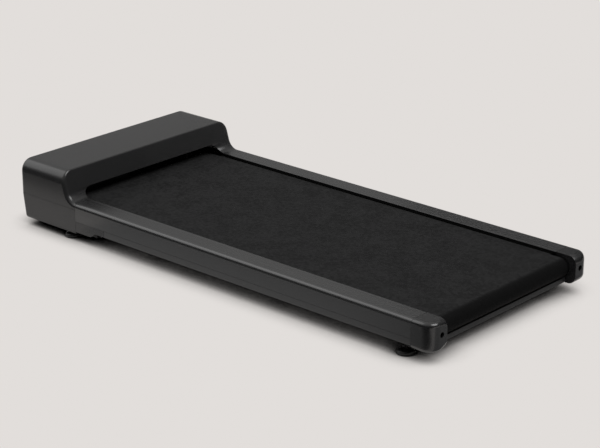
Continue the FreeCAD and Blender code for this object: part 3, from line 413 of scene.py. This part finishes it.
def sweep(rings, closed):
    """A form that joins rings of equally many points; an open one is capped at both ends."""
    form = bmesh.new()
    rows = [[form.verts.new(point) for point in ring] for ring in rings]
    pairs = list(zip(rows, rows[1:]))
    if closed:
        pairs.append((rows[-1], rows[0]))
    else:
        form.faces.new(rows[0])
        form.faces.new(rows[-1])
    for first, second in pairs:
        bridge(form, first, second)
    bmesh.ops.recalc_face_normals(form, faces=form.faces)
    return form


def add_piece(name, form, body, look, *solids):
    """A piece that rides on a body in place of some solids."""
    mesh = bpy.data.meshes.new(name)
    form.to_mesh(mesh)
    form.free()
    mesh.shade_smooth()
    mesh.set_sharp_from_angle(angle=SMOOTH_BELOW)
    mesh.materials.append(LOOKS[look])
    piece = bpy.data.objects.new(name, mesh)
    bpy.context.scene.collection.objects.link(piece)
    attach(piece, body)
    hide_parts(*solids)


def middle(node):
    low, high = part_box(node)
    return Vector([(first + last) / 2 for first, last in zip(low, high)])


def turns(steps=ROUND_STEPS):
    return [2 * math.pi * step / steps for step in range(steps)]


# Walking belt: a woven strip with eased edges round the two rollers
BELT_THICK = 1.8 * MM
BELT_EASE = 0.6 * MM
BELT_RUN_STEPS = 40
BELT_BEND_STEPS = 28
BELT_ACROSS = 24
BELT_EDGE_STEPS = 5


def belt_section(half):
    """Places across the belt and above its inner face, once round the strip."""
    side, high = half - BELT_EASE, BELT_THICK - BELT_EASE
    corners = ((side, high, 0.0), (-side, high, 90.0), (-side, BELT_EASE, 180.0), (side, BELT_EASE, 270.0))
    places = []
    for number, (across, lift, first) in enumerate(corners):
        for step in range(BELT_EDGE_STEPS + 1):
            angle = math.radians(first + 90.0 * step / BELT_EDGE_STEPS)
            places.append((across + BELT_EASE * math.cos(angle), lift + BELT_EASE * math.sin(angle)))
        if number % 2 == 0:
            start, height = places[-1]
            places += [(start * (1.0 - 2.0 * step / BELT_ACROSS), height) for step in range(1, BELT_ACROSS)]
    return places


def belt_path(low, high):
    """Points on the belt's inner face and the way out of it, once round."""
    bend = (high[2] - low[2]) / 2 - BELT_THICK
    height = (high[2] + low[2]) / 2
    front, rear = low[0] + bend + BELT_THICK, high[0] - bend - BELT_THICK
    path = []
    for start, stop, first in ((front, rear, 90.0), (rear, front, -90.0)):
        for step in range(BELT_RUN_STEPS):
            path.append((start + (stop - start) * step / BELT_RUN_STEPS, first))
        for step in range(BELT_BEND_STEPS):
            path.append((stop, first - 180.0 * step / BELT_BEND_STEPS))
    stations = []
    for x, angle in path:
        out = Vector((math.cos(math.radians(angle)), 0.0, math.sin(math.radians(angle))))
        stations.append((Vector((x, 0.0, height)) + out * bend, out))
    return stations


def make_belt():
    low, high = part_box("walking_belt")
    section = belt_section((high[1] - low[1]) / 2)
    rings = [[spot + out * lift + Vector((0.0, across, 0.0)) for across, lift in section]
             for spot, out in belt_path(low, high)]
    add_piece("walking_belt_strip", sweep(rings, True), "chassis", "belt_rubber", "walking_belt")


# Levelling feet in millimetres: a flanged rubber dome on each threaded stud with a hexagonal neck
PAD_OUTLINE = ((12.6, 0.8), (13.4, 0.7), (13.8, 0.0), (17.9, 0.0), (18.6, 0.25), (18.95, 0.8), (19.0, 1.5),
               (18.85, 2.1), (18.5, 2.4), (18.1, 2.5), (17.9, 2.75), (17.85, 3.3), (17.8, 5.0), (17.6, 6.2),
               (17.1, 7.2), (16.2, 8.0), (14.8, 8.7), (12.6, 9.3), (10.0, 9.7), (7.8, 9.9), (7.1, 9.7),
               (7.1, 8.0))
NECK_LOW, NECK_TOP = 8.0, 10.0
NECK_ACROSS = 12.1
NECK_CORNER = 6.85
NECK_EASE, NECK_EASE_HEIGHT = 0.5, 0.4
THREAD_ROOT, THREAD_CREST = 3.35, 3.97
THREAD_PITCH = 1.25
THREAD_ROWS = 8
THREAD_STEPS = 36
TIP_CHAMFER = 1.2


def hex_reach(angle):
    """Half a hexagon's reach at an angle, with its corners turned off."""
    across = (math.degrees(angle) % 60.0) - 30.0
    return min(NECK_ACROSS / 2 / math.cos(math.radians(across)), NECK_CORNER)


def thread_reach(height, angle, tip):
    """Reach of a thread with a chamfered tip, whose crest, root and flanks each take a quarter turn."""
    turn = (height / THREAD_PITCH - angle / (2 * math.pi)) % 1.0
    crest = min(max(1.5 - abs(4.0 * turn - 2.0), 0.0), 1.0)
    reach = THREAD_ROOT + (THREAD_CREST - THREAD_ROOT) * crest
    left = tip - height
    if left < TIP_CHAMFER:
        reach = min(reach, THREAD_CREST - (TIP_CHAMFER - left))
    return reach


def stud_rings(tip):
    angles = turns(THREAD_STEPS)
    rings = []
    for height, ease in ((NECK_LOW, 0.0), (NECK_TOP - NECK_EASE_HEIGHT, 0.0), (NECK_TOP, NECK_EASE)):
        rings.append([(hex_reach(angle) - ease, angle, height) for angle in angles])
    count = int((tip - NECK_TOP) / THREAD_PITCH * THREAD_ROWS)
    for step in range(count + 1):
        height = NECK_TOP + (tip - NECK_TOP) * step / count
        rings.append([(thread_reach(height, angle, tip), angle, height) for angle in angles])
    return rings


def placed(rings, centre):
    """Rings given as reach, angle and height in millimetres, put about an upright line."""
    return [[Vector((centre[0] + reach * MM * math.cos(angle), centre[1] + reach * MM * math.sin(angle),
                     height * MM)) for reach, angle, height in ring] for ring in rings]


def make_foot(word):
    body, pad, stud = "foot_" + word, "foot_pad_" + word, "foot_stud_" + word
    centre = middle(pad)
    pad_rings = [[(reach, angle, height) for angle in turns()] for reach, height in PAD_OUTLINE]
    dome = sweep(placed(pad_rings, centre), False)
    add_piece("rubber_foot_" + word, dome, body, "foot_rubber", pad)
    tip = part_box(stud)[1][2] / MM
    thread = sweep(placed(stud_rings(tip), centre), False)
    add_piece("threaded_stud_" + word, thread, body, "stud_steel", stud)


# Transport wheels in millimetres: a grooved tread with a ribbed recess in each face
WHEEL_HALF = ((4.2, 7.6), (4.6, 7.9), (7.0, 7.9), (7.3, 7.4), (7.4, 6.0), (7.8, 5.4), (10.8, 5.4),
              (11.2, 6.0), (11.4, 7.3), (11.8, 7.8), (12.6, 8.0), (13.6, 7.7), (14.4, 7.0), (14.9, 6.0),
              (15.0, 5.0), (15.0, 3.0), (14.6, 2.6), (14.6, 1.9), (15.0, 1.5))
WHEEL_RECESS = (7.2, 11.3)
WHEEL_RIB = 7.4
WHEEL_RIBS = 5
RIB_START, RIB_FLANK = 0.7, 0.15
WHEEL_STEPS = 100


def wheel_point(reach, width, angle):
    """A point of the wheel's outline, raised where a rib crosses the recess."""
    if WHEEL_RECESS[0] < reach < WHEEL_RECESS[1]:
        ridge = min(max((math.cos(WHEEL_RIBS * angle) - RIB_START) / RIB_FLANK, 0.0), 1.0)
        raised = abs(width) + (WHEEL_RIB - abs(width)) * ridge
        width = math.copysign(max(abs(width), raised), width)
    return Vector((reach * MM * math.cos(angle), width * MM, reach * MM * math.sin(angle)))


def make_wheel(word):
    node = "transport_wheel_" + word
    centre = middle(node)
    outline = WHEEL_HALF + tuple((reach, -width) for reach, width in reversed(WHEEL_HALF))
    rings = [[centre + wheel_point(reach, width, angle) for angle in turns(WHEEL_STEPS)]
             for reach, width in outline]
    add_piece("roller_wheel_" + word, sweep(rings, True), node, "wheel_plastic", node)


make_belt()
for foot_word in ("front_left", "front_right", "rear_left", "rear_right"):
    make_foot(foot_word)
for wheel_word in ("left", "right"):
    make_wheel(wheel_word)

# Floor: a pale warm sheet that is shaded where it is closed in, and a far round wall of the same colour
FLOOR_COLOUR = (0.76, 0.73, 0.708)
FLOOR_BOUNCE = (0.73, 0.73, 0.73)
FLOOR_REACH = 40.0
FLOOR_DROP = 0.3 * MM
SHADE_REACH = 0.085
SHADE_RAYS = 16
SHADE_TILT = (0.26, -0.13, 0.95)
SHADE_ENDS = (0.25, 0.9)
WALL_RADIUS, WALL_HEIGHT, WALL_STEPS = 38.0, 5.0, 96
BLACK = (0.0, 0.0, 0.0)

# Light: two soft lamps, each with the way to it, its width in degrees and its power, and a weak leaning sky
LAMPS = {
    "side": ((-0.72, -0.25, 0.64), 48.0, 0.6),
    "over": ((0.50, 0.13, 0.856), 40.0, 1.75),
}
SKY_COLOUR = (1.0, 0.99, 0.98)
SKY_HORIZON, SKY_TOP = 0.105, 0.64
SKY_CURVE = 1.5
SKY_LEAN = (-0.9, -0.2, 0.0)

# Black flag that stands along the near side, seen only in reflections, where it paints the dark bands below
# the rounded edges' highlights
FLAG_GAP, FLAG_HEIGHT, FLAG_REACH = 0.19, 0.20, 0.5
FLAG_COLOUR = (0.012, 0.012, 0.012)

# Paper on the floor beside the near rail, seen only in reflections, which turns from light to dark towards
# the rear end: a painted reflection that darkens the rear cap's side
CARD_LENGTH, CARD_WIDTH, CARD_GAP = 1.15, 0.5, 0.05
CARD_START, CARD_FADE, CARD_CURVE = 1.04, 1.03, 6.0
CARD_LIGHT, CARD_DARK = 0.66, 0.02
CARD_LIFT = 0.4 * MM

# Grey screen past the far rail, grey cloth on the floor behind the rear end, and a black shield farther off,
# all seen only in reflections, where they paint darker reflections on the far rail, the rear faces and the
# hood's slope
SCREEN_GAP, SCREEN_ENDS, SCREEN_HEIGHTS = 0.75, (-0.5, 0.7), (0.25, 0.85)
SCREEN_COLOUR = (0.27, 0.27, 0.27)
REAR_GAP, REAR_SIZE = 0.012, 0.4
SHIELD_GAP, SHIELD_ENDS, SHIELD_HEIGHT = 1.35, (0.2, 2.6), 0.65

# The four corners of a card, by its first or last end and its low or high side
CORNERS = ((0, 0), (1, 0), (1, 1), (0, 1))


def matt(name, colour):
    return Surface(name, colour, rough=1.0, shine=0.0)


def add_stage(name, form, looks, unseen_by=()):
    """A piece of the stage that some kinds of rays pass through."""
    mesh = bpy.data.meshes.new(name)
    form.to_mesh(mesh)
    form.free()
    for look in looks:
        mesh.materials.append(look.material)
    piece = bpy.data.objects.new(name, mesh)
    for ray in unseen_by:
        setattr(piece, "visible_" + ray, False)
    bpy.context.scene.collection.objects.link(piece)


def add_card(form, corners, look):
    face = form.faces.new([form.verts.new(corner) for corner in corners])
    face.material_index = look


def lying(ends, sides, height):
    """Corners of a level card."""
    return [(ends[end], sides[side], height) for end, side in CORNERS]


def upright(ends, side, heights):
    """Corners of a card that stands along the object."""
    return [(ends[end], side, heights[top]) for end, top in CORNERS]


def make_floor():
    form = bmesh.new()
    span = (-FLOOR_REACH, FLOOR_REACH)
    add_card(form, lying(span, span, -FLOOR_DROP), 0)
    sheet = matt("floor", FLOOR_BOUNCE)
    sheet.shaded(FLOOR_COLOUR, SHADE_REACH, SHADE_RAYS, SHADE_TILT, SHADE_ENDS)
    add_stage("floor", form, [sheet])


def make_backdrop():
    """The wall is seen by the eye and in reflections, and gives no light that bounces."""
    form = bmesh.new()
    rows = [[form.verts.new((WALL_RADIUS * math.cos(angle), WALL_RADIUS * math.sin(angle), height))
             for angle in turns(WALL_STEPS)] for height in (-FLOOR_DROP, WALL_HEIGHT)]
    bridge(form, *rows)
    wall = matt("backdrop", BLACK)
    wall.glowing(FLOOR_COLOUR)
    add_stage("backdrop", form, [wall], ("diffuse", "volume_scatter", "shadow"))


def make_lamp(name, side, width, power):
    data = bpy.data.lights.new(name, "SUN")
    data.energy = power
    data.angle = math.radians(width)
    lamp = bpy.data.objects.new(name, data)
    lamp.rotation_mode = "QUATERNION"
    lamp.rotation_quaternion = (-Vector(side)).to_track_quat("-Z", "Y")
    bpy.context.scene.collection.objects.link(lamp)


def make_sky():
    """A grey studio that is darkest at the skyline, brightest overhead and brighter where it leans."""
    world = bpy.data.worlds.new("studio")
    world.use_nodes = True
    tree = world.node_tree
    glow = tree.nodes["Background"]
    glow.inputs["Color"].default_value = (*SKY_COLOUR, 1.0)
    way = tree.nodes.new("ShaderNodeTexCoord").outputs["Generated"]
    climb = calc(tree, "POWER", part_of(tree, way, "Z"), SKY_CURVE)
    lean = tree.nodes.new("ShaderNodeVectorMath")
    lean.operation = "DOT_PRODUCT"
    tree.links.new(way, lean.inputs[0])
    lean.inputs[1].default_value = SKY_LEAN
    share = calc(tree, "ADD", lean.outputs["Value"], 1.0)
    level = calc(tree, "MULTIPLY", spread(tree, climb, SKY_HORIZON, SKY_TOP), share)
    tree.links.new(level, glow.inputs["Strength"])
    bpy.context.scene.world = world


def make_flags():
    """Cards that only reflections see."""
    low, high = cad_box
    flag = matt("flag_cloth", FLAG_COLOUR)
    paper = matt("card_paper", FLOOR_BOUNCE)
    screen = matt("screen_cloth", SCREEN_COLOUR)
    start, edge = high[0] - CARD_START, low[1] - CARD_GAP
    fade = paper.math("POWER", paper.spread(paper.along("X"), 0.0, 1.0, start, start + CARD_FADE), CARD_CURVE)
    paper.tint(fade, CARD_LIGHT, CARD_DARK, start=0.0, end=1.0)
    flag_ends = (low[0] - FLAG_REACH, high[0] + FLAG_REACH)
    rear = high[0] + REAR_GAP
    form = bmesh.new()
    add_card(form, upright(flag_ends, low[1] - FLAG_GAP, (0.0, FLAG_HEIGHT)), 0)
    add_card(form, lying((start, start + CARD_LENGTH), (edge, edge - CARD_WIDTH), CARD_LIFT), 1)
    add_card(form, upright(SCREEN_ENDS, high[1] + SCREEN_GAP, SCREEN_HEIGHTS), 2)
    add_card(form, lying((rear, rear + REAR_SIZE), (low[1], high[1] + REAR_SIZE), CARD_LIFT), 2)
    add_card(form, upright(SHIELD_ENDS, high[1] + SHIELD_GAP, (0.0, SHIELD_HEIGHT)), 0)
    add_stage("flags", form, [flag, paper, screen],
              ("camera", "diffuse", "transmission", "volume_scatter", "shadow"))


make_floor()
make_backdrop()
for lamp_name, lamp_facts in LAMPS.items():
    make_lamp(lamp_name, *lamp_facts)
make_sky()
make_flags()
bpy.context.scene.view_settings.view_transform = "Standard"
